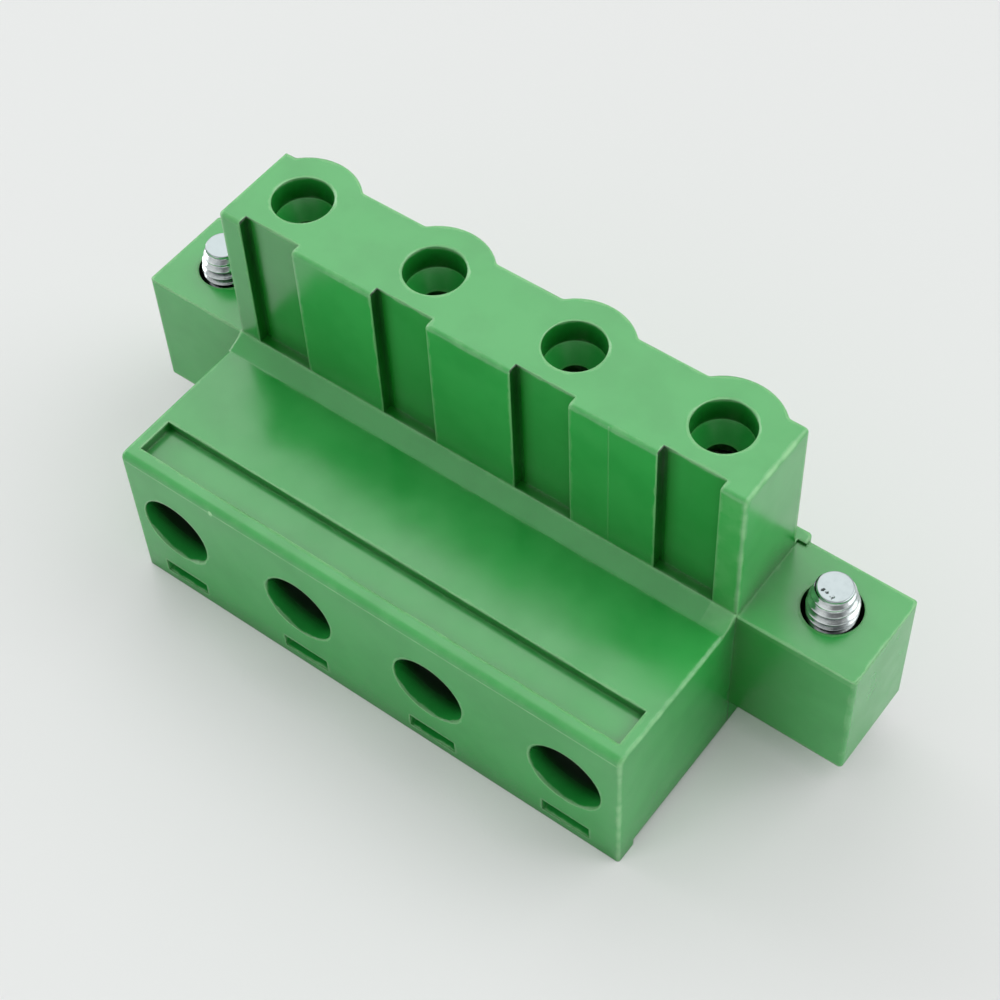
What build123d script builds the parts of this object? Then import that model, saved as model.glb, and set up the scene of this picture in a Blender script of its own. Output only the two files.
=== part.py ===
from build123d import *
import os

os.makedirs("parts", exist_ok=True)

# Frame in millimetres: +X runs along the row of poles, +Y points away from the screw face,
# +Z points the way the plug is pushed in. Z = 0 is the lowest edge, the lip of the screw face,
# and X = Y = 0 is the middle of the plug seen from above. The poles and the flange screws
# share a middle that sits off the housing's by the pole shift.

# Poles
pole_count = 4
pitch = 7.62
pole_shift = -0.12

# Housing body
body_width = 28.5
body_depth = 14.3
lip_height = 0.45
lip_thickness = 1.15
slab_z = 8.75
edge_round = 0.35
corner_round = 0.15

# Mating tower
tower_top_z = 17.4
boss_radius = 2.75
tower_front = 2.8
tower_back = 1.9
groove_width = 3.1
groove_depth = 0.5
gusset_depth = 1.0
gusset_height = 0.55
gusset_sag = 0.07
gusset_root = 0.4
boss_blend = 0.3
tower_round = 0.2

# Rear wall, a little proud of the flanges
rear_width = 29.4
rear_front = 2.15
rear_top_z = 9.35
rear_round = 0.25

# Marker strip recess in the slab
marker_width = 27.3
marker_front_wall = 0.8
marker_length = 1.95
marker_depth = 0.5

# Screw flanges
flange_reach = 6.0
flange_root = 1.0
flange_back = 2.43
flange_bottom_z = 2.2
flange_top_z = 9.2
flange_round = 0.2

# Plug face funnels
mouth_radius = 1.46
mouth_depth = 1.3
funnel_depth = 0.9
pin_hole_radius = 0.8
pin_hole_length = 0.4

# Screwdriver openings in the screw face
screw_z = 4.65
driver_mouth_radius = 1.95

# Accessory slots under the screwdriver openings
slot_width = 2.6
slot_height = 0.83
slot_bottom_z = 0.5
slot_depth = 1.6

# Clamp screw, M3
clamp_thread_radius = 1.5
clamp_head_radius = 2.05
clamp_head_height = 1.6
clamp_head_gap = 0.15
head_clearance = 0.08
head_stop_gap = 0.2
clamp_slot_width = 0.7
clamp_slot_depth = 0.9
clamp_tip_chamfer = 0.3
clamp_tip_gap = 0.05

# Tension sleeve, folded from plated strip
sleeve_width = 4.0
sleeve_length = 5.4
sleeve_side_wall = 0.5
sleeve_back_wall = 0.7
sleeve_front_wall = 1.9
sleeve_corner = 0.5
sleeve_thread_clearance = 0.06
sleeve_clearance = 0.1
wire_gap_open = 3.1
sleeve_travel = 2.8
grip_groove_count = 3
grip_groove_width = 0.5
grip_groove_pitch = 1.3
grip_groove_depth = 0.15

# Conductor openings in the wire face
back_wall = 0.85
wire_mouth_chamfer = 0.3
cavity_floor_z = 1.85
cavity_ceiling_z = 7.45

# Contact, stamped from copper alloy strip
strip = 0.6
bar_width = 2.8
bar_bottom_z = 1.2
bar_top_z = 7.5
base_bottom_z = 8.1
base_half_depth = 1.5
base_width = 3.0
leaf_thickness = 0.5
leaf_width = 2.2
leaf_root = 0.95
leaf_foot = 0.1
leaf_pinch = 0.6
leaf_flare = 0.9
leaf_tip_gap = 0.3
leaf_lead_in = 0.9
slit_top_z = 8.45
slit_clearance = 0.1
chamber_half = 1.55

# Steel over-spring, a clip around the contact's leaves
clip_sheet = 0.25
clip_band_height = 2.8
clip_leaf_gap = 0.02
clip_tongue_width = 1.6
clip_tongue_root = 0.2
clip_tongue_rise = 0.1
clip_press_gap = 0.05
clip_tip_drop = 0.2

# Captive flange screw, M2.5
flange_screw_offset = 3.25
flange_hole_radius = 1.4
neck_radius = 1.08
neck_bottom_z = 5.2
neck_top_z = 6.0
head_pocket_radius = 2.0
flange_head_radius = 1.9
flange_head_bottom_z = 2.3
flange_head_height = 1.4
flange_slot_width = 0.7
flange_slot_depth = 0.8
flange_shank_radius = 0.9
flange_thread_radius = 1.25
flange_nose_radius = 1.08
flange_nose_length = 0.7
flange_nose_step = 0.1
flange_lead_length = 0.5
flange_pilot_radius = 0.84
flange_pilot_length = 0.2
flange_tip_z = 10.8
thread_seat_gap = 0.02

# Both kinds of screw
head_rim_chamfer = 0.15

# Allowances for joining and cutting: joined pieces run into each other by the overlap, and a
# cut reaches past the face that it opens
overlap = 0.1
cut_over = 1.0

# Values that follow from the ones above
front_y = -body_depth / 2
back_y = body_depth / 2
row_y = back_y - boss_radius
pole_x = [pole_shift + (i - (pole_count - 1) / 2) * pitch for i in range(pole_count)]
tower_front_y = row_y - tower_front
gusset_top_z = slab_z + gusset_height
cavity_back_y = back_y - back_wall
sleeve_back_y = cavity_back_y - sleeve_clearance
sleeve_grip_y = sleeve_back_y - sleeve_back_wall
bar_back_y = sleeve_grip_y - wire_gap_open
bar_front_y = bar_back_y - strip
sleeve_nut_y = bar_front_y - sleeve_clearance
sleeve_front_y = sleeve_nut_y - sleeve_front_wall
cavity_front_y = sleeve_front_y - sleeve_travel - sleeve_clearance
clamp_head_y = cavity_front_y - clamp_head_gap
chamber_top_z = tower_top_z - mouth_depth - funnel_depth - pin_hole_length
leaf_tip_z = chamber_top_z - leaf_tip_gap
leaf_pinch_z = leaf_tip_z - leaf_lead_in
flange_screw_x = {side: pole_shift + side * (body_width / 2 + flange_screw_offset) for side in (-1, 1)}


def block(x, y, z):
    """A box from three (low, high) pairs."""
    centre = ((x[0] + x[1]) / 2, (y[0] + y[1]) / 2, (z[0] + z[1]) / 2)
    return Pos(*centre) * Box(x[1] - x[0], y[1] - y[0], z[1] - z[0])


def upright(radius, z_low, z_high, x=0.0, y=0.0):
    """A cylinder along Z between two heights."""
    return Pos(x, y, (z_low + z_high) / 2) * Cylinder(radius, z_high - z_low)


def along_y(radius, y_low, y_high, x=0.0, z=0.0):
    """A cylinder along Y between two stations."""
    return Pos(x, (y_low + y_high) / 2, z) * Rot(90, 0, 0) * Cylinder(radius, y_high - y_low)


def edges_near(shape, axis, point, reach=0.02):
    """The straight edges along an axis that pass through a point given in the other two axes."""
    others = [a for a in ("X", "Y", "Z") if a != axis]
    found = []
    for edge in shape.edges().filter_by(getattr(Axis, axis)):
        centre = edge.center()
        offsets = [abs(getattr(centre, a) - value) for a, value in zip(others, point)]
        if max(offsets) < reach:
            found.append(edge)
    return found


# Outer shape of the housing
def over_width(outline):
    """A closed outline of the end view, extruded over the body's width."""
    face = make_face(Curve() + outline)
    return extrude(Plane.YZ * face, amount=body_width / 2, both=True)


def body_profile():
    """The end view: screw face, slab, tower front and back, and the lip at the bottom."""
    outline = [
        Line((front_y, 0), (front_y, slab_z)),
        Line((front_y, slab_z), (tower_front_y, slab_z)),
        Line((tower_front_y, slab_z), (tower_front_y, tower_top_z)),
        Line((tower_front_y, tower_top_z), (row_y + tower_back, tower_top_z)),
        Line((row_y + tower_back, tower_top_z), (row_y + tower_back, rear_top_z)),
        Line((row_y + tower_back, rear_top_z), (row_y + flange_back, rear_top_z)),
        Line((row_y + flange_back, rear_top_z), (row_y + flange_back, lip_height)),
        Line((row_y + flange_back, lip_height), (front_y + lip_thickness, lip_height)),
        Line((front_y + lip_thickness, lip_height), (front_y + lip_thickness, 0)),
        Line((front_y + lip_thickness, 0), (front_y, 0)),
    ]
    return over_width(outline)


def gusset():
    """The hollow-faced strip along the tower's foot, let into the slab and the tower."""
    start_y = tower_front_y - gusset_depth
    end_y = tower_front_y + gusset_root
    bottom_z = slab_z - gusset_root
    outline = [
        SagittaArc((start_y, slab_z), (tower_front_y, gusset_top_z), -gusset_sag),
        Line((tower_front_y, gusset_top_z), (end_y, gusset_top_z)),
        Line((end_y, gusset_top_z), (end_y, bottom_z)),
        Line((end_y, bottom_z), (start_y, bottom_z)),
        Line((start_y, bottom_z), (start_y, slab_z)),
    ]
    return over_width(outline)


def flange(side):
    """One screw flange block with its outer corners rounded."""
    x_inner = side * (body_width / 2 - flange_root)
    x_outer = side * (body_width / 2 + flange_reach)
    y_range = (tower_front_y, row_y + flange_back)
    ear = block(sorted((x_inner, x_outer)), y_range, (flange_bottom_z, flange_top_z))
    corners = edges_near(ear, "Z", (x_outer, y_range[0])) + edges_near(ear, "Z", (x_outer, y_range[1]))
    return fillet(corners, flange_round)


def outer_shape():
    """Body, rear wall and flanges, with the edges that a hand meets rounded."""
    shape = body_profile()
    shape = fillet(edges_near(shape, "X", (front_y, slab_z)), edge_round)
    front_corners = [e for s in (-1, 1) for e in edges_near(shape, "Z", (s * body_width / 2, front_y))]
    shape = fillet(front_corners, corner_round)
    tower_edges = edges_near(shape, "X", (tower_front_y, tower_top_z))
    for s in (-1, 1):
        tower_edges += edges_near(shape, "Y", (s * body_width / 2, tower_top_z))
        tower_edges += edges_near(shape, "Z", (s * body_width / 2, tower_front_y))
    shape = fillet(tower_edges, tower_round) + gusset()
    rear = block(
        (-rear_width / 2, rear_width / 2), (row_y + rear_front, back_y), (lip_height, rear_top_z)
    )
    rear_corners = [e for s in (-1, 1) for e in edges_near(rear, "Z", (s * rear_width / 2, back_y))]
    shape += fillet(rear_corners, rear_round)
    for side in (-1, 1):
        shape += flange(side)
    return shape


def with_scallops(body):
    """The round bosses behind the mating holes, blended into the flats between them."""
    shape = body
    behind_tower = block(
        (-body_width / 2, body_width / 2),
        (row_y + tower_back - overlap, back_y),
        (rear_top_z, tower_top_z),
    )
    for x in pole_x:
        shape += upright(boss_radius, rear_top_z, tower_top_z, x, row_y) & behind_tower
    half_chord = (boss_radius**2 - tower_back**2) ** 0.5
    creases = []
    for x in pole_x:
        for side in (-1, 1):
            creases += edges_near(shape, "Z", (x + side * half_chord, row_y + tower_back))
    return fillet(creases, boss_blend)


# Hollows of the housing
def plug_face_hole(x):
    """Round mouth, funnel and pin hole on the plug face."""
    funnel_top = tower_top_z - mouth_depth
    funnel_bottom = funnel_top - funnel_depth
    hole = upright(mouth_radius, funnel_top, tower_top_z + cut_over, x, row_y)
    cone = Cone(pin_hole_radius, mouth_radius, funnel_depth)
    hole += Pos(x, row_y, (funnel_top + funnel_bottom) / 2) * cone
    hole += upright(pin_hole_radius, chamber_top_z - cut_over, funnel_bottom, x, row_y)
    return hole


def contact_chamber(x):
    """The square shaft in the tower and the slit that lets the contact's bar pass."""
    span = (x - chamber_half, x + chamber_half)
    bottom_z = cavity_ceiling_z - cut_over
    shaft = block(span, (row_y - chamber_half, row_y + chamber_half), (bottom_z, chamber_top_z))
    slit = block(span, (bar_front_y - slit_clearance, row_y), (bottom_z, slit_top_z))
    return shaft + slit


def sleeve_chamber(x):
    """The room in which the tension sleeve slides, open to the wire face."""
    half = sleeve_width / 2 + sleeve_clearance
    span = (x - half, x + half)
    room = block(span, (cavity_front_y, cavity_back_y), (cavity_floor_z, cavity_ceiling_z))
    mouth_front = sleeve_front_y - sleeve_clearance
    room += block(span, (mouth_front, cavity_back_y), (lip_height - cut_over, cavity_ceiling_z))
    mouth_length = cavity_back_y - mouth_front
    mouth_face = Pos(x, (mouth_front + cavity_back_y) / 2, lip_height) * Rectangle(2 * half, mouth_length)
    wide_face = offset(mouth_face, wire_mouth_chamfer, kind=Kind.INTERSECTION)
    narrow_face = Pos(0, 0, wire_mouth_chamfer) * mouth_face
    room += loft([wide_face.face(), narrow_face.face()])
    return room


def driver_hole(x):
    """Screwdriver opening, and behind it the wider room that keeps the screw's head in."""
    room_start = clamp_head_y - clamp_head_height - head_stop_gap
    room_end = cavity_front_y + overlap
    hole = along_y(driver_mouth_radius, front_y - cut_over, room_start, x, screw_z)
    hole += along_y(clamp_head_radius + head_clearance, room_start, room_end, x, screw_z)
    return hole


def accessory_slot(x):
    half = slot_width / 2
    return block(
        (x - half, x + half),
        (front_y - cut_over, front_y + slot_depth),
        (slot_bottom_z, slot_bottom_z + slot_height),
    )


def coding_groove(x):
    """One groove of the tower's front; the grooves share the housing's middle, not the poles'."""
    half = groove_width / 2
    return block(
        (x - half, x + half),
        (tower_front_y - cut_over, tower_front_y + groove_depth),
        (gusset_top_z, tower_top_z + cut_over),
    )


def marker_recess():
    y_low = front_y + marker_front_wall
    return block(
        (-marker_width / 2, marker_width / 2),
        (y_low, y_low + marker_length),
        (slab_z - marker_depth, slab_z + cut_over),
    )


def flange_bore(side):
    """Clearance hole, captive neck and head pocket of one flange."""
    x = flange_screw_x[side]
    bore = upright(flange_hole_radius, neck_top_z, flange_top_z + cut_over, x, row_y)
    bore += upright(neck_radius, neck_bottom_z - overlap, neck_top_z + overlap, x, row_y)
    bore += upright(head_pocket_radius, flange_bottom_z - cut_over, neck_bottom_z, x, row_y)
    return bore


def housing():
    shape = with_scallops(outer_shape())
    for x in pole_x:
        shape -= coding_groove(x - pole_shift)
        shape -= plug_face_hole(x)
        shape -= contact_chamber(x)
        shape -= sleeve_chamber(x)
        shape -= driver_hole(x)
        shape -= accessory_slot(x)
    shape -= marker_recess()
    for side in (-1, 1):
        shape -= flange_bore(side)
    return shape


# Metal parts of one pole
def yz_strip(points, thickness, width, x):
    """Sheet metal that follows a line in the YZ plane, as wide as stated along X."""
    face = trace(Polyline(*points), line_width=thickness)
    return Pos(x, 0, 0) * extrude(Plane.YZ * face, amount=width / 2, both=True)


def contact(x):
    """Current bar for the clamp, folded base and two spring leaves that grip the header pin."""
    base_top_z = base_bottom_z + strip
    bar = block(
        (x - bar_width / 2, x + bar_width / 2),
        (bar_front_y, bar_back_y),
        (bar_bottom_z, bar_top_z),
    )
    bar_mid_y = (bar_front_y + bar_back_y) / 2
    base_front_y = row_y - base_half_depth
    step = [
        (bar_mid_y, bar_top_z - strip),
        (bar_mid_y, bar_top_z),
        (base_front_y + strip, base_bottom_z + strip / 2),
    ]
    shape = bar + yz_strip(step, strip, bar_width, x)
    shape += block(
        (x - base_width / 2, x + base_width / 2),
        (base_front_y, row_y + base_half_depth),
        (base_bottom_z, base_top_z),
    )
    for side in (-1, 1):
        leaf = [
            (row_y + side * leaf_root, base_bottom_z + strip / 2),
            (row_y + side * leaf_root, base_top_z + leaf_foot),
            (row_y + side * leaf_pinch, leaf_pinch_z),
            (row_y + side * leaf_flare, leaf_tip_z),
        ]
        shape += yz_strip(leaf, leaf_thickness, leaf_width, x)
    return shape


def over_spring(x):
    """Clip band around the leaves, with two tongues that press on them from outside."""
    z_low = base_bottom_z + strip
    z_high = z_low + clip_band_height
    half_x = leaf_width / 2 + clip_leaf_gap
    half_y = leaf_root + leaf_thickness / 2 + clip_leaf_gap
    outer = block(
        (x - half_x - clip_sheet, x + half_x + clip_sheet),
        (row_y - half_y - clip_sheet, row_y + half_y + clip_sheet),
        (z_low, z_high),
    )
    inner = block(
        (x - half_x, x + half_x),
        (row_y - half_y, row_y + half_y),
        (z_low - cut_over, z_high + cut_over),
    )
    shape = outer - inner
    band_y = half_y + clip_sheet / 2
    press_y = leaf_pinch + leaf_thickness / 2 + clip_press_gap + clip_sheet / 2
    for side in (-1, 1):
        tongue = [
            (row_y + side * band_y, z_high - clip_tongue_root),
            (row_y + side * band_y, z_high + clip_tongue_rise),
            (row_y + side * press_y, leaf_pinch_z - clip_tip_drop),
        ]
        shape += yz_strip(tongue, clip_sheet, clip_tongue_width, x)
    return shape


def tension_sleeve(x):
    """Folded loop that pulls the conductor against the bar as the screw turns in its thick wall."""
    z_low = screw_z - sleeve_length / 2
    z_high = screw_z + sleeve_length / 2
    half = sleeve_width / 2
    shape = block((x - half, x + half), (sleeve_front_y, sleeve_back_y), (z_low, z_high))
    shape = fillet(shape.edges().filter_by(Axis.Z), sleeve_corner)
    inner = half - sleeve_side_wall
    shape -= block(
        (x - inner, x + inner),
        (sleeve_nut_y, sleeve_grip_y),
        (z_low - cut_over, z_high + cut_over),
    )
    thread_radius = clamp_thread_radius + sleeve_thread_clearance
    shape -= along_y(thread_radius, sleeve_front_y - cut_over, sleeve_nut_y + overlap, x, screw_z)
    for i in range(grip_groove_count):
        z = screw_z + (i - (grip_groove_count - 1) / 2) * grip_groove_pitch
        shape -= block(
            (x - inner, x + inner),
            (sleeve_grip_y - overlap, sleeve_grip_y + grip_groove_depth),
            (z - grip_groove_width / 2, z + grip_groove_width / 2),
        )
    return shape


def clamp_screw(x):
    head_outer_y = clamp_head_y - clamp_head_height
    tip_y = bar_front_y - clamp_tip_gap
    shank = along_y(clamp_thread_radius, clamp_head_y - overlap, tip_y, x, screw_z)
    tip = shank.edges().filter_by(GeomType.CIRCLE).sort_by(Axis.Y)[-1]
    shape = chamfer(tip, clamp_tip_chamfer)
    shape += along_y(clamp_head_radius, head_outer_y, clamp_head_y, x, screw_z)
    rim = shape.edges().filter_by(GeomType.CIRCLE).sort_by(Axis.Y)[0]
    shape = chamfer(rim, head_rim_chamfer)
    slot_reach = clamp_head_radius + cut_over
    shape -= block(
        (x - slot_reach, x + slot_reach),
        (head_outer_y - cut_over, head_outer_y + clamp_slot_depth),
        (screw_z - clamp_slot_width / 2, screw_z + clamp_slot_width / 2),
    )
    return shape


# Flange screws
def flange_screw(side):
    """Captive screw that rests with its thread on the flange's neck, free end towards +Z."""
    x = flange_screw_x[side]
    head_top_z = flange_head_bottom_z + flange_head_height
    thread_bottom_z = neck_top_z + thread_seat_gap
    pilot_bottom_z = flange_tip_z - flange_pilot_length
    lead_bottom_z = pilot_bottom_z - flange_lead_length
    nose_bottom_z = lead_bottom_z - flange_nose_length
    thread_top_z = nose_bottom_z - flange_nose_step
    head = upright(flange_head_radius, flange_head_bottom_z, head_top_z, x, row_y)
    rim = head.edges().filter_by(GeomType.CIRCLE).sort_by(Axis.Z)[0]
    shape = chamfer(rim, head_rim_chamfer)
    shape += upright(flange_shank_radius, head_top_z - overlap, thread_bottom_z + overlap, x, row_y)
    shape += upright(flange_thread_radius, thread_bottom_z, thread_top_z, x, row_y)
    step = Cone(flange_thread_radius, flange_nose_radius, flange_nose_step)
    shape += Pos(x, row_y, (thread_top_z + nose_bottom_z) / 2) * step
    shape += upright(flange_nose_radius, nose_bottom_z, lead_bottom_z, x, row_y)
    lead = Cone(flange_nose_radius, flange_pilot_radius, flange_lead_length)
    shape += Pos(x, row_y, (lead_bottom_z + pilot_bottom_z) / 2) * lead
    shape += upright(flange_pilot_radius, pilot_bottom_z, flange_tip_z, x, row_y)
    slot_reach = flange_head_radius + cut_over
    shape -= block(
        (x - slot_reach, x + slot_reach),
        (row_y - flange_slot_width / 2, row_y + flange_slot_width / 2),
        (flange_head_bottom_z - cut_over, flange_head_bottom_z + flange_slot_depth),
    )
    return shape


def save(name, shape):
    shape.label = name
    export_step(shape, f"parts/{name}.step")


save("housing", housing())
for number, x in enumerate(pole_x, start=1):
    save(f"contact_{number}", contact(x))
    save(f"over_spring_{number}", over_spring(x))
    save(f"clamp_sleeve_{number}", tension_sleeve(x))
    save(f"clamp_screw_{number}", clamp_screw(x))
for name, side in (("flange_screw_left", -1), ("flange_screw_right", 1)):
    save(name, flange_screw(side))
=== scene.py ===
import math
import bmesh
import bpy
from mathutils import Matrix, Vector


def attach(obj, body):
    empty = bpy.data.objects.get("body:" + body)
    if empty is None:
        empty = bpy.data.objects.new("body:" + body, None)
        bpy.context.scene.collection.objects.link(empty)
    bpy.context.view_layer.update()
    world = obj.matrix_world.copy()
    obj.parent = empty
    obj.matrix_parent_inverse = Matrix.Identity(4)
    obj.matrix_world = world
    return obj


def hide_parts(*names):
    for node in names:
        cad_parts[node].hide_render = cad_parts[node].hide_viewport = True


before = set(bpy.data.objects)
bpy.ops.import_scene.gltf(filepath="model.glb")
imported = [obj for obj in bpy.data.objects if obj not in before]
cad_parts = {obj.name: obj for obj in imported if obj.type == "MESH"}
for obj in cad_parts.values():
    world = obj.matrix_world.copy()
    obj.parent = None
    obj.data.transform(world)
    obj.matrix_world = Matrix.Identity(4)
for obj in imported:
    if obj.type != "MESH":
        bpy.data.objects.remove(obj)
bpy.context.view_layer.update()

MM = 0.001

# Colours, linear
GREEN = (0.026, 0.392, 0.064)
GREEN_DEEP = (0.016, 0.350, 0.050)
# Painted shade for creases, grooves and the shaded fronts, and deeper painted shade for holes
GREEN_CREASE_SHADE = (0.003, 0.170, 0.008)
GREEN_HOLE_SHADE = (0.0003, 0.012, 0.0005)
# Painted highlight for edges, corners and the mould line, also the pale of a nick
GREEN_HIGHLIGHT_AND_NICK = (0.300, 0.720, 0.300)
ZINC = (0.88, 0.92, 0.93)
ZINC_DULL = (0.40, 0.45, 0.46)
# Painted shade for thread roots, also the dark of the nicks
ZINC_ROOT_SHADE_AND_NICK = (0.05, 0.06, 0.06)
NICKEL = (0.74, 0.71, 0.63)
NICKEL_DULL = (0.60, 0.56, 0.46)
TIN = (0.74, 0.72, 0.68)
TIN_DULL = (0.58, 0.56, 0.53)
SPRING_STEEL = (0.55, 0.55, 0.56)
SPRING_STEEL_DULL = (0.42, 0.42, 0.43)
FLOOR = (0.80, 0.81, 0.805)
BACKGROUND = (0.80, 0.82, 0.81)
# Painted green shade for the floor in tight places under the part
FLOOR_SHADE = (0.16, 0.34, 0.18)

# Finishes: range of roughness, and in millimetres the heights of bumps and the edges' radius
EDGE_RADIUS = 0.25
GREEN_ROUGHNESS = (0.20, 0.265)
GREEN_SPECULAR = 0.95
GREEN_IOR = 1.56
SINK_HEIGHT = 0.05
GRAIN_HEIGHT = 0.0005
MOULD_LINE_HEIGHT = 0.02
ZINC_ROUGHNESS = (0.14, 0.24)
ZINC_HEIGHT = 0.004
NICK_DEPTH = 0.03
NICKEL_ROUGHNESS = (0.18, 0.27)
TIN_ROUGHNESS = (0.28, 0.40)
SPRING_STEEL_ROUGHNESS = (0.28, 0.36)
DRAWN_HEIGHT = 0.006

# How open a place is where its painted shade is deepest and where it has none, and least openness
CREASE_OPENNESS = (0.30, 0.75)
HOLE_OPENNESS = (0.05, 0.40)
OUTER_EDGE_OPENNESS = (0.72, 0.92)
ROOT_OPENNESS = (0.40, 0.65)
FLOOR_OPENNESS = (0.10, 0.42)
FUNNEL_LEAST = 0.75
SLOT_LEAST = 0.68

# How far openness looks round a place, in millimetres
HOLE_REACH = 3.0
EDGE_REACH = 0.5
ROOT_REACH = 0.45
FLOOR_REACH = 6.0

# Cosines between the rounded normal and the face: none and full as an edge
EDGE_TURN = (0.998, 0.90)

# Shade in the green where light is lost: how soon openings deepen, strengths, and reaches in mm
DRIVER_DEEP_SHARE = 0.45
DRIVER_LEAN = 0.2
GROOVE_SHADE = (0.25, 0.95)
GROOVE_SHADE_REACH = 1.0
GROOVE_FOOT_SHADE = 0.80
GROOVE_FOOT_REACH = 0.40
TOWER_SHADE = 0.65
FLANGE_SHADE = 0.9

# Painted highlights along corners and on the mould line, and nicks: reach in millimetres from none to
# full, and how strong
UPRIGHT_HIGHLIGHT = (0.18, 0.06)
TOWER_HIGHLIGHT = (0.20, 0.07)
FRONT_LINE_HIGHLIGHT = (0.07, 0.03)
FRONT_LINE_STRENGTH = 0.6
END_RIB_STRENGTH = 0.30
HIGHLIGHT_STRENGTH = (0.30, 0.75)
MOULD_LINE_REACH = (0.07, 0.02)
MOULD_LINE_HIGHLIGHT = 0.18
FRONT_NICK_SIZE = 0.18
TIP_NICK_SIZE = 0.10
NICK_RAGGEDNESS = 0.05

# Places on the part in millimetres, as in the solids. A skin is how far a mask reaches past them.
SKIN = 0.05
POLE_SHIFT = -0.12
PITCH = 7.62
POLES = [POLE_SHIFT + (i - 1.5) * PITCH for i in range(4)]
ROW_Y = 4.4
FRONT_Y = -7.15
SIDE_X = 14.25
TOWER_FRONT_Y = 1.6
SLAB_Z = 8.75
TOWER_TOP_Z = 17.4
SCREW_Z = 4.65
DRIVER_HOLE = {"radius": 1.95, "depth": 2.1}
PLUG_MOUTH = {"radius": 1.46, "depth": 1.3, "funnel": 0.9}
SLOT = {"width": 2.6, "bottom_z": 0.5, "height": 0.83, "depth": 1.6}
GROOVE = {"width": 3.1, "depth": 0.5, "bottom_z": 9.3}
FLANGE_REACH = 6.0
END_RIB_X = 12.9
MOULD_LINE_X = 7.43
FRONT_LINE_Z = 8.35
FRONT_NICK = (-8.7, FRONT_Y, FRONT_LINE_Z)
FLANGE_SCREWS = {"left": POLE_SHIFT - 17.5, "right": POLE_SHIFT + 17.5}

# Flange screw, M2.5, head down
FLANGE_HEAD_Z = (2.3, 3.7)
FLANGE_HEAD_RADIUS = 1.9
FLANGE_SLOT = (0.7, 0.8)
FLANGE_SHANK_RADIUS = 0.9
FLANGE_THREAD_Z = (6.02, 10.62)
FLANGE_CREST = 1.19
FLANGE_ROOT = 0.92
FLANGE_PITCH = 0.40
FLANGE_RUNOUT = 1.2
FLANGE_LEAD_Z = (9.7, 10.6)
FLANGE_LEAD_RADIUS = 0.93
FLANGE_LEAD_DEPTH = 0.16
FLANGE_PILOT_RADIUS = 0.84
FLANGE_TIP_Z = 10.8
FLANGE_TIP_NICKS = [(-0.37, -0.45), (-0.13, -0.50), (0.17, -0.58)]

# Clamp screw, M3, head towards the screw face
CLAMP_HEAD_Y = (-4.85, -3.25)
CLAMP_HEAD_RADIUS = 2.05
CLAMP_SLOT = (0.7, 0.9)
CLAMP_THREAD_Y = (-3.0, 1.75)
CLAMP_NECK_RADIUS = 1.22
CLAMP_CREST = 1.49
CLAMP_ROOT = 1.2
CLAMP_PITCH = 0.5
CLAMP_RUNOUT = 1.5

# Mesh making: weld and flat limits in millimetres, and the overlap of shells that join
WELD_DISTANCE = 1e-5
FLAT_HEIGHT = 1e-6
OVERLAP = 0.1
SLOT_ROUND = 0.08
SMOOTH_ANGLE = math.radians(38)

# Camera, light and floor
FLOOR_LIFT = 0.28
FLOOR_HALF_SIZE_M = 3.0
FLOOR_DROP = 0.02
CAMERA_AT = (39.855, -44.9268, 87.912)
CAMERA_RIGHT = (0.79905, 0.60022, -0.03536)
CAMERA_UP = (-0.46320, 0.65201, 0.60027)
CAMERA_BACK = (0.38335, -0.46327, 0.79901)
LENS = 78.256
SKY_LEVEL = 0.64
OPERATOR_TOWARDS = (0.383, -0.463, 0.799)
OPERATOR_CONE = (0.88, 0.97)
OPERATOR_SHADE = (0.10, 0.75)
SOFTBOXES = {
    "back_right": {"towards": (0.50, 0.50, 0.71), "angle": 50.0, "strength": 0.87},
    "back_left": {"towards": (-0.50, 0.50, 0.71), "angle": 50.0, "strength": 0.53},
    "low_left": {"towards": (-0.98, 0.00, 0.21), "angle": 40.0, "strength": 1.10},
}


# Node helpers
def new_material(name):
    """A material with a cleared tree, its Principled shader and a tree to add to."""
    material = bpy.data.materials.new(name)
    material.use_nodes = True
    tree = material.node_tree
    tree.nodes.clear()
    output = tree.nodes.new("ShaderNodeOutputMaterial")
    shader = tree.nodes.new("ShaderNodeBsdfPrincipled")
    tree.links.new(shader.outputs["BSDF"], output.inputs["Surface"])
    return material, tree, shader


def feed(tree, socket, value):
    """Links a socket, or sets it when the value is plain."""
    if isinstance(value, bpy.types.NodeSocket):
        tree.links.new(value, socket)
    elif isinstance(value, (tuple, list)) and socket.type == "RGBA" and len(value) == 3:
        socket.default_value = (*value, 1.0)
    else:
        socket.default_value = value


def math_node(tree, operation, a, b=0.0):
    node = tree.nodes.new("ShaderNodeMath")
    node.operation = operation
    feed(tree, node.inputs[0], a)
    feed(tree, node.inputs[1], b)
    return node.outputs[0]


def vector_node(tree, operation, a, b=None):
    """Vector maths, whose result is a plain number for a length or a dot product."""
    node = tree.nodes.new("ShaderNodeVectorMath")
    node.operation = operation
    feed(tree, node.inputs[0], a)
    if b is not None:
        feed(tree, node.inputs[1], b)
    return node.outputs["Value" if operation in ("DOT_PRODUCT", "LENGTH") else "Vector"]


def components(tree, vector):
    """The three coordinates of a vector."""
    node = tree.nodes.new("ShaderNodeSeparateXYZ")
    feed(tree, node.inputs[0], vector)
    return node.outputs


def ramp(tree, value, low, high, to_low=0.0, to_high=1.0):
    """Maps a value smoothly from one range to another."""
    node = tree.nodes.new("ShaderNodeMapRange")
    node.interpolation_type = "SMOOTHSTEP"
    feed(tree, node.inputs["Value"], value)
    node.inputs["From Min"].default_value = low
    node.inputs["From Max"].default_value = high
    node.inputs["To Min"].default_value = to_low
    node.inputs["To Max"].default_value = to_high
    return node.outputs["Result"]


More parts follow.
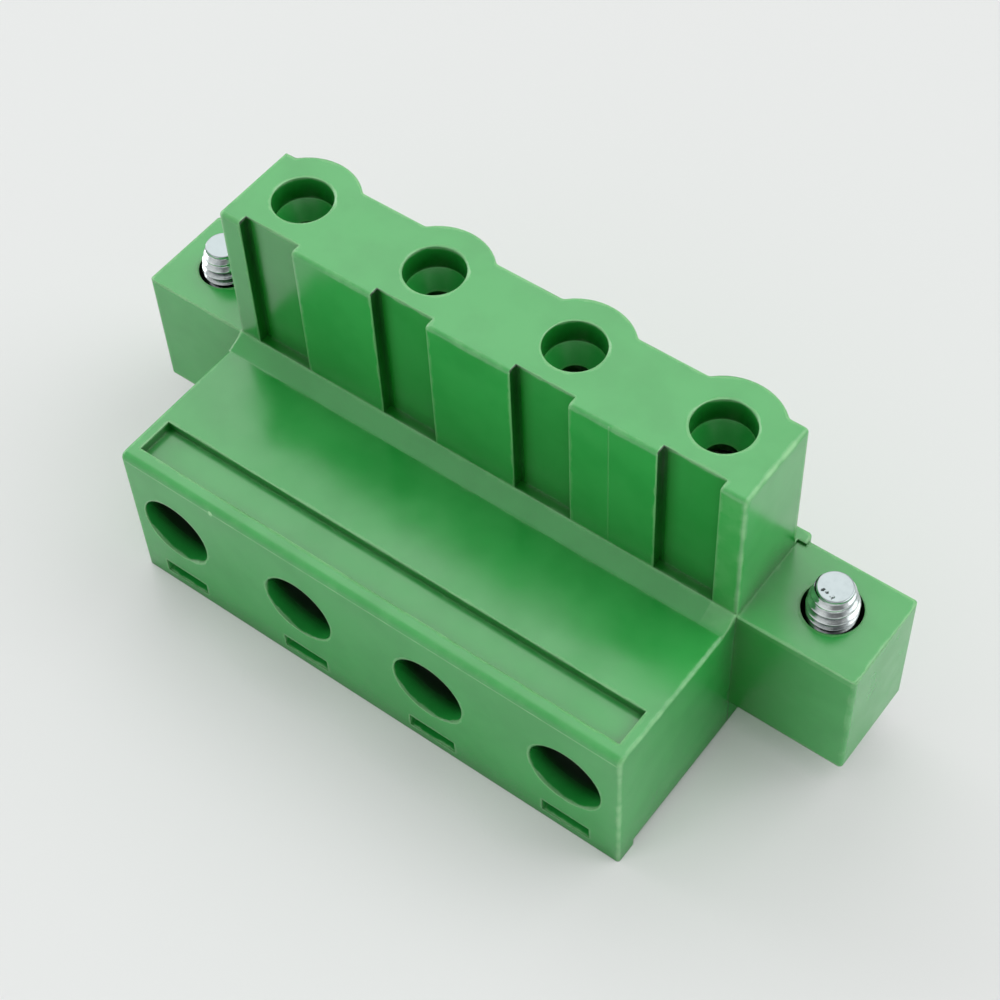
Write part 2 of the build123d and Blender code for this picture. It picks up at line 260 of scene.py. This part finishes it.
def product(tree, *factors):
    result = factors[0]
    for factor in factors[1:]:
        result = math_node(tree, "MULTIPLY", result, factor)
    return result


def between(tree, value, low, high, soft=0.03):
    """One between two limits and nought beyond them, with soft ends."""
    above = ramp(tree, value, low - soft, low + soft)
    below = ramp(tree, value, high + soft, high - soft)
    return product(tree, above, below)


def distance(tree, a, a_at, b, b_at):
    """Distance from a line that runs along the third axis."""
    da = math_node(tree, "SUBTRACT", a, a_at)
    db = math_node(tree, "SUBTRACT", b, b_at)
    squares = math_node(tree, "ADD", product(tree, da, da), product(tree, db, db))
    return math_node(tree, "SQRT", squares)


def within_pitch(tree, x, middle):
    """Offset from the nearest of a row of places one pitch apart, of which one is at middle."""
    node = tree.nodes.new("ShaderNodeMath")
    node.operation = "WRAP"
    feed(tree, node.inputs[0], math_node(tree, "SUBTRACT", x, middle))
    node.inputs[1].default_value = PITCH / 2
    node.inputs[2].default_value = -PITCH / 2
    return node.outputs[0]


def blend_colour(tree, factor, a, b):
    node = tree.nodes.new("ShaderNodeMix")
    node.data_type = "RGBA"
    feed(tree, node.inputs["Factor"], factor)
    feed(tree, node.inputs["A"], a)
    feed(tree, node.inputs["B"], b)
    return node.outputs["Result"]


def millimetres(tree, stretch=(1.0, 1.0, 1.0)):
    """Position on the part in millimetres, optionally stretched for streaky patterns."""
    where = tree.nodes.new("ShaderNodeTexCoord").outputs["Object"]
    return vector_node(tree, "MULTIPLY", where, [share / MM for share in stretch])


def noise(tree, where, scale, detail, roughness=0.5):
    node = tree.nodes.new("ShaderNodeTexNoise")
    feed(tree, node.inputs["Vector"], where)
    node.inputs["Scale"].default_value = scale
    node.inputs["Detail"].default_value = detail
    node.inputs["Roughness"].default_value = roughness
    return node.outputs["Fac"]


def wandering(tree, where, low, high, scale, detail):
    """A value that wanders between two limits over the surface."""
    return ramp(tree, noise(tree, where, scale, detail), 0.3, 0.7, low, high)


def clouded(tree, where, bright, dull):
    """The colour of plating, bright with cloudy dull patches."""
    cloud = ramp(tree, noise(tree, where, scale=1.6, detail=4.0), 0.38, 0.72)
    return blend_colour(tree, cloud, bright, dull)


def bump(tree, height, depth_mm, normal=None):
    """A bump whose height of one is the stated depth."""
    node = tree.nodes.new("ShaderNodeBump")
    node.inputs["Strength"].default_value = 1.0
    node.inputs["Distance"].default_value = depth_mm * MM
    feed(tree, node.inputs["Height"], height)
    if normal is not None:
        feed(tree, node.inputs["Normal"], normal)
    return node.outputs["Normal"]


def openness(tree, reach_mm, samples=3):
    """One where the surface is open, and less in creases and holes narrower than the reach."""
    node = tree.nodes.new("ShaderNodeAmbientOcclusion")
    node.samples = samples
    node.inputs["Distance"].default_value = reach_mm * MM
    return node.outputs["AO"]


def soft_edges(tree, radius):
    """A normal that rounds the outer edges only, by a radius in metres, and a mask that is one on
    those edges."""
    geometry = tree.nodes.new("ShaderNodeNewGeometry")
    flat = geometry.outputs["Normal"]
    bevel = tree.nodes.new("ShaderNodeBevel")
    bevel.samples = 4
    feed(tree, bevel.inputs["Radius"], radius)
    outer = ramp(tree, openness(tree, EDGE_REACH, 2), *OUTER_EDGE_OPENNESS)
    # The vector sockets of this node are its inputs 4 and 5 and its output 1
    mix = tree.nodes.new("ShaderNodeMix")
    mix.data_type = "VECTOR"
    feed(tree, mix.inputs["Factor"], outer)
    feed(tree, mix.inputs[4], flat)
    feed(tree, mix.inputs[5], bevel.outputs["Normal"])
    rounded = vector_node(tree, "NORMALIZE", mix.outputs[1])
    agreement = vector_node(tree, "DOT_PRODUCT", rounded, geometry.outputs["True Normal"])
    return rounded, ramp(tree, agreement, *EDGE_TURN)


# Materials
def corner_highlights(tree, x, y, z, uneven):
    """A mask of painted highlights along the corners: front uprights, tower ends, end rib, and
    the line along the top of the screw face."""
    side = math_node(tree, "ABSOLUTE", x)
    above_slab = ramp(tree, z, SLAB_Z, SLAB_Z + 0.1)
    before_tower = ramp(tree, y, TOWER_FRONT_Y + SKIN, TOWER_FRONT_Y + 0.4 * SKIN)
    upright = ramp(tree, distance(tree, side, SIDE_X, y, FRONT_Y), *UPRIGHT_HIGHLIGHT)
    tower_upright = ramp(tree, distance(tree, side, SIDE_X, y, TOWER_FRONT_Y), *TOWER_HIGHLIGHT)
    tower_top = ramp(tree, distance(tree, side, SIDE_X, z, TOWER_TOP_Z), *TOWER_HIGHLIGHT)
    from_line = distance(tree, y, FRONT_Y, z, FRONT_LINE_Z)
    front_line = ramp(tree, from_line, *FRONT_LINE_HIGHLIGHT, 0.0, FRONT_LINE_STRENGTH)
    end_rib = ramp(tree, x, END_RIB_X, END_RIB_X + 0.1, 0.0, END_RIB_STRENGTH)
    mask = product(tree, end_rib, before_tower, above_slab)
    for corner in (upright, product(tree, tower_upright, above_slab), tower_top, front_line):
        mask = math_node(tree, "MAXIMUM", mask, corner)
    return product(tree, mask, ramp(tree, uneven, 0.25, 0.70, *HIGHLIGHT_STRENGTH))


def mould_line(tree, x, y, z):
    """A mask on the fine raised line that crosses the third rib from the right."""
    line = math_node(tree, "ABSOLUTE", math_node(tree, "SUBTRACT", x, MOULD_LINE_X))
    on_face = ramp(tree, y, TOWER_FRONT_Y + 2 * SKIN, TOWER_FRONT_Y + SKIN)
    above_foot = ramp(tree, z, GROOVE["bottom_z"] + SKIN, GROOVE["bottom_z"] + 5 * SKIN)
    return product(tree, ramp(tree, line, *MOULD_LINE_REACH), on_face, above_foot)


def least_openness(tree, u, y, z):
    """The openness below which the funnels of the mouths and the slots do not fall, because light
    reaches them better than their narrowness says. u is the offset from the nearest pole."""
    funnel_top = TOWER_TOP_Z - PLUG_MOUTH["depth"]
    funnel_bottom = funnel_top - PLUG_MOUTH["funnel"]
    radius = PLUG_MOUTH["radius"] + 0.6 * SKIN
    in_mouth = ramp(tree, distance(tree, u, 0.0, y, ROW_Y), radius + 0.6 * SKIN, radius)
    funnel = product(tree, in_mouth, between(tree, z, funnel_bottom, funnel_top))

    half_width = SLOT["width"] / 2 + 0.4 * SKIN
    top = SLOT["bottom_z"] + SLOT["height"] + 0.4 * SKIN
    slot = product(
        tree,
        ramp(tree, math_node(tree, "ABSOLUTE", u), half_width + 0.4 * SKIN, half_width),
        between(tree, y, FRONT_Y + 0.6 * SKIN, FRONT_Y + SLOT["depth"]),
        ramp(tree, z, top + 0.4 * SKIN, top),
    )
    funnel = product(tree, funnel, FUNNEL_LEAST)
    return math_node(tree, "ADD", funnel, product(tree, slot, SLOT_LEAST))


def driver_shade(tree, u, x, y, z):
    """A mask that deepens inwards in the screwdriver openings, sooner on their upper side."""
    radius = DRIVER_HOLE["radius"] + 0.6 * SKIN
    depth = DRIVER_HOLE["depth"]
    in_hole = ramp(tree, distance(tree, u, 0.0, z, SCREW_Z), radius + 0.6 * SKIN, radius)
    in_body = ramp(tree, math_node(tree, "ABSOLUTE", x), SIDE_X - 0.2, SIDE_X - 0.3)
    in_front = ramp(tree, y, FRONT_Y + 2.5 * depth, FRONT_Y + 2.0 * depth)
    above_axis = math_node(tree, "SUBTRACT", z, SCREW_Z)
    inwards = math_node(tree, "ADD", y, product(tree, above_axis, DRIVER_LEAN))
    deep = ramp(tree, inwards, FRONT_Y, FRONT_Y + DRIVER_DEEP_SHARE * depth)
    return product(tree, in_hole, in_body, in_front, deep)


def groove_shade(tree, x, y, z):
    """Two masks of the tower's grooves: shade that fades away from each left wall, and its foot."""
    from_wall = math_node(tree, "ADD", within_pitch(tree, x, PITCH / 2), GROOVE["width"] / 2)
    shade = product(
        tree,
        ramp(tree, from_wall, GROOVE_SHADE_REACH, 0.0, *GROOVE_SHADE),
        ramp(tree, from_wall, -1.2 * SKIN, -0.6 * SKIN),
        ramp(tree, from_wall, GROOVE["width"] + SKIN, GROOVE["width"] + 0.4 * SKIN),
        between(tree, y, TOWER_FRONT_Y + SKIN, TOWER_FRONT_Y + GROOVE["depth"] + SKIN),
        ramp(tree, z, GROOVE["bottom_z"] - 2 * SKIN, GROOVE["bottom_z"] + 2 * SKIN),
    )
    by_wall = math_node(tree, "ABSOLUTE", from_wall)
    foot = ramp(tree, by_wall, GROOVE_FOOT_REACH, 0.0, 0.0, GROOVE_FOOT_SHADE)
    return shade, product(tree, shade, foot)


def tower_shade(tree, x, y, z):
    """A mask on the tower's ribbed front that fades away upwards."""
    return product(
        tree,
        between(tree, y, TOWER_FRONT_Y, TOWER_FRONT_Y + GROOVE["depth"], SKIN),
        ramp(tree, math_node(tree, "ABSOLUTE", x), SIDE_X, SIDE_X - 0.1),
        ramp(tree, z, SLAB_Z + 0.3, SLAB_Z + 0.4),
        ramp(tree, z, TOWER_TOP_Z - 0.5, GROOVE["bottom_z"], 0.0, TOWER_SHADE),
    )


def flange_shade(tree, x, y, z):
    """A mask on the right flange's front that fades away from the body beside it."""
    y_from_tower = math_node(tree, "SUBTRACT", y, TOWER_FRONT_Y)
    return product(
        tree,
        ramp(tree, math_node(tree, "ABSOLUTE", y_from_tower), SKIN, 0.4 * SKIN),
        ramp(tree, x, SIDE_X - 0.1, SIDE_X),
        ramp(tree, z, SLAB_Z + 0.4, SLAB_Z + 0.3),
        ramp(tree, x, SIDE_X + FLANGE_REACH, SIDE_X - 1.0, 0.0, FLANGE_SHADE),
    )


def shaded_hollows(tree, x, y, z, colour):
    """Deepens the green in creases and holes, as far as light is lost in each kind of them."""
    u = within_pitch(tree, x, POLES[0])
    here = math_node(tree, "MAXIMUM", openness(tree, HOLE_REACH), least_openness(tree, u, y, z))
    # Painted shade: creases, holes, driver openings, groove walls, the tower's front and the flange's
    # front
    colour = blend_colour(tree, ramp(tree, here, *CREASE_OPENNESS), GREEN_CREASE_SHADE, colour)
    colour = blend_colour(tree, ramp(tree, here, *HOLE_OPENNESS), GREEN_HOLE_SHADE, colour)
    colour = blend_colour(tree, driver_shade(tree, u, x, y, z), colour, GREEN_HOLE_SHADE)
    shade, foot = groove_shade(tree, x, y, z)
    colour = blend_colour(tree, shade, colour, GREEN_CREASE_SHADE)
    colour = blend_colour(tree, foot, colour, GREEN_HOLE_SHADE)
    colour = blend_colour(tree, tower_shade(tree, x, y, z), colour, GREEN_CREASE_SHADE)
    return blend_colour(tree, flange_shade(tree, x, y, z), colour, GREEN_CREASE_SHADE)


def nicks(tree, where, places, size):
    """A mask of small ragged dents at points given in millimetres."""
    mask = 0.0
    ragged = wandering(tree, where, -NICK_RAGGEDNESS, NICK_RAGGEDNESS, scale=9.0, detail=1.0)
    for place in places:
        apart = vector_node(tree, "LENGTH", vector_node(tree, "SUBTRACT", where, place))
        dent = ramp(tree, math_node(tree, "ADD", apart, ragged), size, 0.4 * size)
        mask = math_node(tree, "MAXIMUM", dent, mask)
    return mask


def green_polyamide():
    """Satin moulded polyamide: faint mottling, spark-eroded grain, a raised mould line, a pale nick,
    painted highlights on the edges and the mould line, and painted shade in the hollows.
    """
    material, tree, shader = new_material("green_polyamide")
    where = millimetres(tree)
    x, y, z = components(tree, where)

    uneven = noise(tree, where, scale=1.1, detail=2.0)
    radius = ramp(tree, uneven, 0.35, 0.65, 0.6 * EDGE_RADIUS * MM, 1.3 * EDGE_RADIUS * MM)
    # The mask from soft_edges paints a pale highlight on the outer edges
    rounded, edge_highlight = soft_edges(tree, radius)

    mottle = noise(tree, where, scale=0.35, detail=3.0)
    colour = blend_colour(tree, ramp(tree, mottle, 0.35, 0.7), GREEN, GREEN_DEEP)
    edge = math_node(tree, "MAXIMUM", edge_highlight, corner_highlights(tree, x, y, z, uneven))
    line = mould_line(tree, x, y, z)
    edge = math_node(tree, "MAXIMUM", edge, product(tree, line, MOULD_LINE_HIGHLIGHT))
    nick = nicks(tree, where, [FRONT_NICK], FRONT_NICK_SIZE)
    edge = math_node(tree, "MAXIMUM", edge, nick)
    # Painted highlights on edges, corners and the mould line, and the pale nick
    colour = blend_colour(tree, edge, colour, GREEN_HIGHLIGHT_AND_NICK)
    colour = shaded_hollows(tree, x, y, z, colour)
    feed(tree, shader.inputs["Base Color"], colour)
    shader.inputs["Specular IOR Level"].default_value = GREEN_SPECULAR
    shader.inputs["IOR"].default_value = GREEN_IOR
    gloss = wandering(tree, where, *GREEN_ROUGHNESS, scale=0.6, detail=3.0)
    feed(tree, shader.inputs["Roughness"], gloss)

    grain = noise(tree, where, scale=5.0, detail=2.0)
    sink = noise(tree, where, scale=0.35, detail=0.0)
    normal = bump(tree, sink, SINK_HEIGHT, rounded)
    normal = bump(tree, grain, GRAIN_HEIGHT, normal)
    normal = bump(tree, line, MOULD_LINE_HEIGHT, normal)
    feed(tree, shader.inputs["Normal"], normal)
    return material


def zinc_plated_steel():
    """Bright zinc with cloudy patches, painted shade in the thread roots, and a duller, nicked cut
    end.
    """
    material, tree, shader = new_material("zinc_plated_steel")
    where = millimetres(tree)
    colour = clouded(tree, where, ZINC, ZINC_DULL)
    z = components(tree, where)["Z"]
    end = ramp(tree, z, FLANGE_TIP_Z - 0.08, FLANGE_TIP_Z - 0.02)
    colour = blend_colour(tree, end, colour, ZINC_DULL)
    # Painted shade in the thread roots, where the surface is least open
    crest = ramp(tree, openness(tree, ROOT_REACH, 2), *ROOT_OPENNESS)
    colour = blend_colour(tree, crest, ZINC_ROOT_SHADE_AND_NICK, colour)
    right = FLANGE_SCREWS["right"]
    places = [(right + dx, ROW_Y + dy, FLANGE_TIP_Z) for dx, dy in FLANGE_TIP_NICKS]
    nick = nicks(tree, where, places, TIP_NICK_SIZE)
    colour = blend_colour(tree, nick, colour, ZINC_ROOT_SHADE_AND_NICK)
    feed(tree, shader.inputs["Base Color"], colour)
    shader.inputs["Metallic"].default_value = 1.0
    rough = wandering(tree, where, *ZINC_ROUGHNESS, scale=3.0, detail=3.0)
    feed(tree, shader.inputs["Roughness"], rough)
    height = noise(tree, where, scale=6.0, detail=4.0, roughness=0.6)
    normal = bump(tree, height, ZINC_HEIGHT)
    normal = bump(tree, math_node(tree, "SUBTRACT", 1.0, nick), NICK_DEPTH, normal)
    feed(tree, shader.inputs["Normal"], normal)
    return material


def plated_metal(name, bright, dull, roughness, stretch):
    """Plated strip with cloudy dull patches and fine drawn lines."""
    material, tree, shader = new_material(name)
    where = millimetres(tree)
    drawn = millimetres(tree, stretch)
    feed(tree, shader.inputs["Base Color"], clouded(tree, where, bright, dull))
    shader.inputs["Metallic"].default_value = 1.0
    rough = wandering(tree, drawn, *roughness, scale=3.0, detail=3.0)
    feed(tree, shader.inputs["Roughness"], rough)
    height = noise(tree, drawn, scale=6.0, detail=4.0, roughness=0.6)
    feed(tree, shader.inputs["Normal"], bump(tree, height, DRAWN_HEIGHT))
    return material


def floor_material():
    """Plain pale card. Painted green shade darkens the tight places under the part, and for the
    camera a painted glow lifts the other shadows a little."""
    material, tree, shader = new_material("floor_card")
    where = millimetres(tree)
    tone = wandering(tree, where, 0.0, 0.5, scale=0.02, detail=2.0)
    colour = blend_colour(tree, tone, FLOOR, BACKGROUND)
    # Painted green shade in tight places under the part
    clear = ramp(tree, openness(tree, FLOOR_REACH, 2), *FLOOR_OPENNESS)
    colour = blend_colour(tree, clear, FLOOR_SHADE, colour)
    feed(tree, shader.inputs["Base Color"], colour)
    shader.inputs["Roughness"].default_value = 0.9
    shader.inputs["Specular IOR Level"].default_value = 0.1
    # A painted glow, for camera rays only, lifts the floor's shadows
    lift = tree.nodes.new("ShaderNodeEmission")
    feed(tree, lift.inputs["Color"], colour)
    path = tree.nodes.new("ShaderNodeLightPath")
    mix = tree.nodes.new("ShaderNodeMixShader")
    feed(tree, mix.inputs[0], math_node(tree, "MULTIPLY", path.outputs["Is Camera Ray"], FLOOR_LIFT))
    feed(tree, mix.inputs[1], shader.outputs["BSDF"])
    feed(tree, mix.inputs[2], lift.outputs[0])
    output = next(n for n in tree.nodes if n.type == "OUTPUT_MATERIAL")
    feed(tree, output.inputs["Surface"], mix.outputs[0])
    return material


# Mesh helpers
def lathe(bm, profile, segments=64):
    """Rings of (radius, height) points turned about Z, closed by a cap at each end."""
    rings = []
    for radius, height in profile:
        ring = []
        for j in range(segments):
            angle = 2 * math.pi * j / segments
            ring.append(bm.verts.new((radius * math.cos(angle), radius * math.sin(angle), height)))
        rings.append(ring)
    for lower, upper in zip(rings, rings[1:]):
        for j in range(segments):
            k = (j + 1) % segments
            bm.faces.new((lower[j], lower[k], upper[k], upper[j]))
    bm.faces.new(list(reversed(rings[0])))
    bm.faces.new(rings[-1])


def crest_share(phase):
    """How far out a metric thread stands at a phase of its pitch, with rolled crests."""
    crest = [(0.0, 0.95), (0.0625, 1.0), (0.125, 0.95)]
    root = [(0.4375, 0.05), (0.5625, 0.0), (0.6875, 0.05)]
    points = crest + root + [(1.0, 0.95)]
    for (p0, v0), (p1, v1) in zip(points, points[1:]):
        if phase <= p1:
            return v0 + (v1 - v0) * (phase - p0) / (p1 - p0)
    return points[-1][1]


def thread(bm, low, high, crest_at, root_at, pitch, segments=72, steps=16):
    """A helical thread about Z between two outlines. Its grid follows the helix."""
    rows = int(math.ceil((high - low) / pitch * steps)) + 2 * steps
    grid = {}
    for k in range(rows + 1):
        share = crest_share((k % steps) / steps)
        for j in range(segments):
            height = low - pitch + pitch * k / steps + pitch * j / segments
            height = min(max(height, low), high)
            root = root_at(height)
            radius = root + (crest_at(height) - root) * share
            angle = 2 * math.pi * j / segments
            grid[j, k] = bm.verts.new((radius * math.cos(angle), radius * math.sin(angle), height))
    for k in range(rows):
        for j in range(segments):
            if j < segments - 1:
                corners = [grid[j, k], grid[j + 1, k], grid[j + 1, k + 1], grid[j, k + 1]]
            elif k + steps + 1 <= rows:
                corners = [grid[j, k], grid[0, k + steps], grid[0, k + steps + 1], grid[j, k + 1]]
            else:
                continue
            heights = [v.co.z for v in corners]
            if max(heights) - min(heights) > FLAT_HEIGHT:
                bm.faces.new(corners)
    loose = [v for v in bm.verts if not v.link_faces]
    bmesh.ops.delete(bm, geom=loose, context="VERTS")


def finish_mesh(bm, name, material, place):
    """Turns a bmesh in millimetres into an object in the row frame."""
    bmesh.ops.remove_doubles(bm, verts=bm.verts, dist=WELD_DISTANCE)
    bmesh.ops.recalc_face_normals(bm, faces=bm.faces)
    mesh = bpy.data.meshes.new(name)
    bm.to_mesh(mesh)
    bm.free()
    mesh.transform(place)
    mesh.shade_smooth()
    obj = bpy.data.objects.new(name, mesh)
    bpy.context.collection.objects.link(obj)
    mesh.materials.append(material)
    mesh.set_sharp_from_angle(angle=SMOOTH_ANGLE)
    return obj


def cut_slot(bm_head, width, depth, radius, bottom):
    """Cuts a straight slot into the lower end of a head that is turned about Z."""
    spare = 1.0
    head_mesh = bpy.data.meshes.new("head_blank")
    bm_head.to_mesh(head_mesh)
    bm_head.free()
    head = bpy.data.objects.new("head_blank", head_mesh)
    cutter_bm = bmesh.new()
    bmesh.ops.create_cube(cutter_bm, size=1.0)
    for v in cutter_bm.verts:
        v.co.x *= 2 * (radius + spare)
        v.co.y *= width
        v.co.z = bottom - spare if v.co.z < 0 else bottom + depth
    bmesh.ops.bevel(
        cutter_bm,
        geom=[e for e in cutter_bm.edges if all(v.co.z > bottom for v in e.verts)],
        offset=SLOT_ROUND,
        segments=2,
        affect="EDGES",
    )
    cutter_mesh = bpy.data.meshes.new("slot_cutter")
    cutter_bm.to_mesh(cutter_mesh)
    cutter_bm.free()
    cutter = bpy.data.objects.new("slot_cutter", cutter_mesh)
    for o in (head, cutter):
        bpy.context.collection.objects.link(o)
    cut = head.modifiers.new("slot", "BOOLEAN")
    cut.operation = "DIFFERENCE"
    cut.solver = "EXACT"
    cut.object = cutter
    bpy.context.view_layer.update()
    evaluated = head.evaluated_get(bpy.context.evaluated_depsgraph_get())
    result = bmesh.new()
    result.from_mesh(evaluated.to_mesh())
    evaluated.to_mesh_clear()
    for o in (head, cutter):
        bpy.data.objects.remove(o)
    bpy.data.meshes.remove(head_mesh)
    bpy.data.meshes.remove(cutter_mesh)
    return result


def add_mesh(bm, other):
    """Adds the faces of another bmesh and frees it."""
    mesh = bpy.data.meshes.new("join")
    other.to_mesh(mesh)
    other.free()
    bm.from_mesh(mesh)
    bpy.data.meshes.remove(mesh)


# Screws
def head_blank(radius, low, high):
    """A screw head without its slot, outer end down, with rounded rims."""
    profile = [(radius - 0.25, low), (radius - 0.15, low), (radius - 0.04, low + 0.04)]
    profile += [(radius, low + 0.15), (radius, high - 0.08), (radius - 0.08, high)]
    bm = bmesh.new()
    lathe(bm, profile)
    return bm


def flange_screw(side, material):
    """Captive M2.5 screw: slotted head below, thin shank, thread with a lead and a pilot end."""
    low, high = FLANGE_HEAD_Z
    head = head_blank(FLANGE_HEAD_RADIUS, low, high)
    bm = cut_slot(head, *FLANGE_SLOT, FLANGE_HEAD_RADIUS, low)
    thread_low, thread_high = FLANGE_THREAD_Z
    shank = [(FLANGE_SHANK_RADIUS, high - OVERLAP), (FLANGE_SHANK_RADIUS, thread_low + OVERLAP)]
    lathe(bm, shank)
    lead_low, lead_high = FLANGE_LEAD_Z

    def crest_at(height):
        if height < lead_low:
            return min(FLANGE_CREST, FLANGE_ROOT + (height - thread_low) * FLANGE_RUNOUT)
        share = min((height - lead_low) / (lead_high - lead_low), 1.0)
        return FLANGE_CREST + (FLANGE_LEAD_RADIUS - FLANGE_CREST) * share

    def root_at(height):
        return min(FLANGE_ROOT, crest_at(height) - FLANGE_LEAD_DEPTH)

    core = bmesh.new()
    thread(core, thread_low, thread_high, crest_at, root_at, FLANGE_PITCH)
    add_mesh(bm, core)
    p = FLANGE_PILOT_RADIUS
    tip = FLANGE_TIP_Z
    end = [(p - 0.12, lead_high - OVERLAP), (p - 0.02, lead_high), (p, lead_high + 0.05)]
    end += [(p, tip - 0.05), (p - 0.01, tip - 0.015), (p - 0.04, tip), (p - 0.09, tip)]
    lathe(bm, end)
    place = Matrix.Scale(MM, 4) @ Matrix.Translation((FLANGE_SCREWS[side], ROW_Y, 0))
    obj = finish_mesh(bm, f"flange_screw_{side}_threaded", material, place)
    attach(obj, f"flange_screw_{side}")
    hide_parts(f"flange_screw_{side}")


def clamp_screw(n, material):
    """M3 clamp screw: slotted head towards the screw face and a full thread to the tip."""
    low, high = CLAMP_HEAD_Y
    head = head_blank(CLAMP_HEAD_RADIUS, low, high)
    bm = cut_slot(head, *CLAMP_SLOT, CLAMP_HEAD_RADIUS, low)
    thread_low, thread_high = CLAMP_THREAD_Y
    neck = [(CLAMP_NECK_RADIUS, high - OVERLAP), (CLAMP_NECK_RADIUS, thread_low + 2 * OVERLAP)]
    lathe(bm, neck)

    def crest_at(height):
        runout = CLAMP_ROOT + (height - thread_low) * CLAMP_RUNOUT
        chamfer = CLAMP_ROOT + (thread_high - height)
        return min(CLAMP_CREST, runout, chamfer)

    def root_at(height):
        return CLAMP_ROOT

    core = bmesh.new()
    thread(core, thread_low, thread_high - 0.02, crest_at, root_at, CLAMP_PITCH)
    add_mesh(bm, core)
    end = [(CLAMP_ROOT - 0.1, thread_high - 2 * OVERLAP), (CLAMP_ROOT, thread_high - OVERLAP)]
    lathe(bm, end + [(CLAMP_ROOT - 0.05, thread_high)])
    along_y = Matrix.Rotation(-math.pi / 2, 4, "X")
    place = Matrix.Scale(MM, 4) @ Matrix.Translation((POLES[n - 1], 0, SCREW_Z)) @ along_y
    obj = finish_mesh(bm, f"clamp_screw_{n}_threaded", material, place)
    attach(obj, f"clamp_screw_{n}")
    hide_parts(f"clamp_screw_{n}")


# Stage
def floor():
    """One large pale sheet under the part."""
    bm = bmesh.new()
    bmesh.ops.create_grid(bm, x_segments=8, y_segments=8, size=FLOOR_HALF_SIZE_M)
    mesh = bpy.data.meshes.new("floor")
    bm.to_mesh(mesh)
    bm.free()
    obj = bpy.data.objects.new("floor", mesh)
    obj.location = (0, 0, -FLOOR_DROP * MM)
    mesh.materials.append(floor_material())
    bpy.context.collection.objects.link(obj)


def sky():
    """Plain pale surroundings for camera and gloss, dark where the operator stands, and a
    dimmer even sky for the light."""
    world = bpy.data.worlds.new("studio")
    bpy.context.scene.world = world
    world.use_nodes = True
    tree = world.node_tree
    tree.nodes.clear()
    output = tree.nodes.new("ShaderNodeOutputWorld")
    path = tree.nodes.new("ShaderNodeLightPath")
    towards = tree.nodes.new("ShaderNodeTexCoord").outputs["Generated"]
    facing = vector_node(tree, "DOT_PRODUCT", towards, OPERATOR_TOWARDS)
    figure = ramp(tree, facing, *OPERATOR_CONE, *OPERATOR_SHADE)
    figure = product(tree, figure, path.outputs["Is Glossy Ray"])
    seen = tree.nodes.new("ShaderNodeBackground")
    seen.inputs["Color"].default_value = (*BACKGROUND, 1)
    feed(tree, seen.inputs["Strength"], math_node(tree, "SUBTRACT", 1.0, figure))
    light = tree.nodes.new("ShaderNodeBackground")
    light.inputs["Color"].default_value = (1, 1, 1, 1)
    light.inputs["Strength"].default_value = SKY_LEVEL
    mix = tree.nodes.new("ShaderNodeMixShader")
    visible = math_node(tree, "MAXIMUM", path.outputs["Is Camera Ray"], path.outputs["Is Glossy Ray"])
    feed(tree, mix.inputs[0], visible)
    feed(tree, mix.inputs[1], light.outputs[0])
    feed(tree, mix.inputs[2], seen.outputs[0])
    feed(tree, output.inputs["Surface"], mix.outputs[0])


def softboxes():
    """Broad soft lamps, each seen from the object as a pale disc of the stated angle."""
    for name, box in SOFTBOXES.items():
        lamp = bpy.data.lights.new(name, "SUN")
        lamp.energy = box["strength"]
        lamp.angle = math.radians(box["angle"])
        obj = bpy.data.objects.new(name, lamp)
        obj.rotation_mode = "QUATERNION"
        obj.rotation_quaternion = Vector(box["towards"]).to_track_quat("Z", "Y")
        bpy.context.collection.objects.link(obj)


def camera():
    data = bpy.data.cameras.new("camera")
    data.lens = LENS
    data.sensor_width = 36.0
    data.clip_start = 0.001
    data.clip_end = 20.0
    obj = bpy.data.objects.new("camera", data)
    axes = Matrix((CAMERA_RIGHT, CAMERA_UP, CAMERA_BACK)).transposed().to_4x4()
    obj.matrix_world = Matrix.Translation(Vector(CAMERA_AT) * MM) @ axes
    bpy.context.collection.objects.link(obj)
    bpy.context.scene.camera = obj


def dress(node, material):
    """Gives a CAD node its material."""
    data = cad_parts[node].data
    data.materials.clear()
    data.materials.append(material)


green = green_polyamide()
zinc = zinc_plated_steel()
nickel = plated_metal("nickel_plated_brass", NICKEL, NICKEL_DULL, NICKEL_ROUGHNESS, (0.2, 1.0, 1.0))
tin = plated_metal("tinned_copper_alloy", TIN, TIN_DULL, TIN_ROUGHNESS, (1.0, 1.0, 0.15))
spring = plated_metal(
    "spring_steel", SPRING_STEEL, SPRING_STEEL_DULL, SPRING_STEEL_ROUGHNESS, (1.0, 1.0, 0.1)
)

dress("housing", green)
for n in range(1, 5):
    dress(f"contact_{n}", tin)
    dress(f"over_spring_{n}", spring)
    dress(f"clamp_sleeve_{n}", nickel)
    clamp_screw(n, zinc)
for side in ("left", "right"):
    flange_screw(side, zinc)

floor()
sky()
softboxes()
camera()
bpy.context.scene.view_settings.view_transform = "Standard"
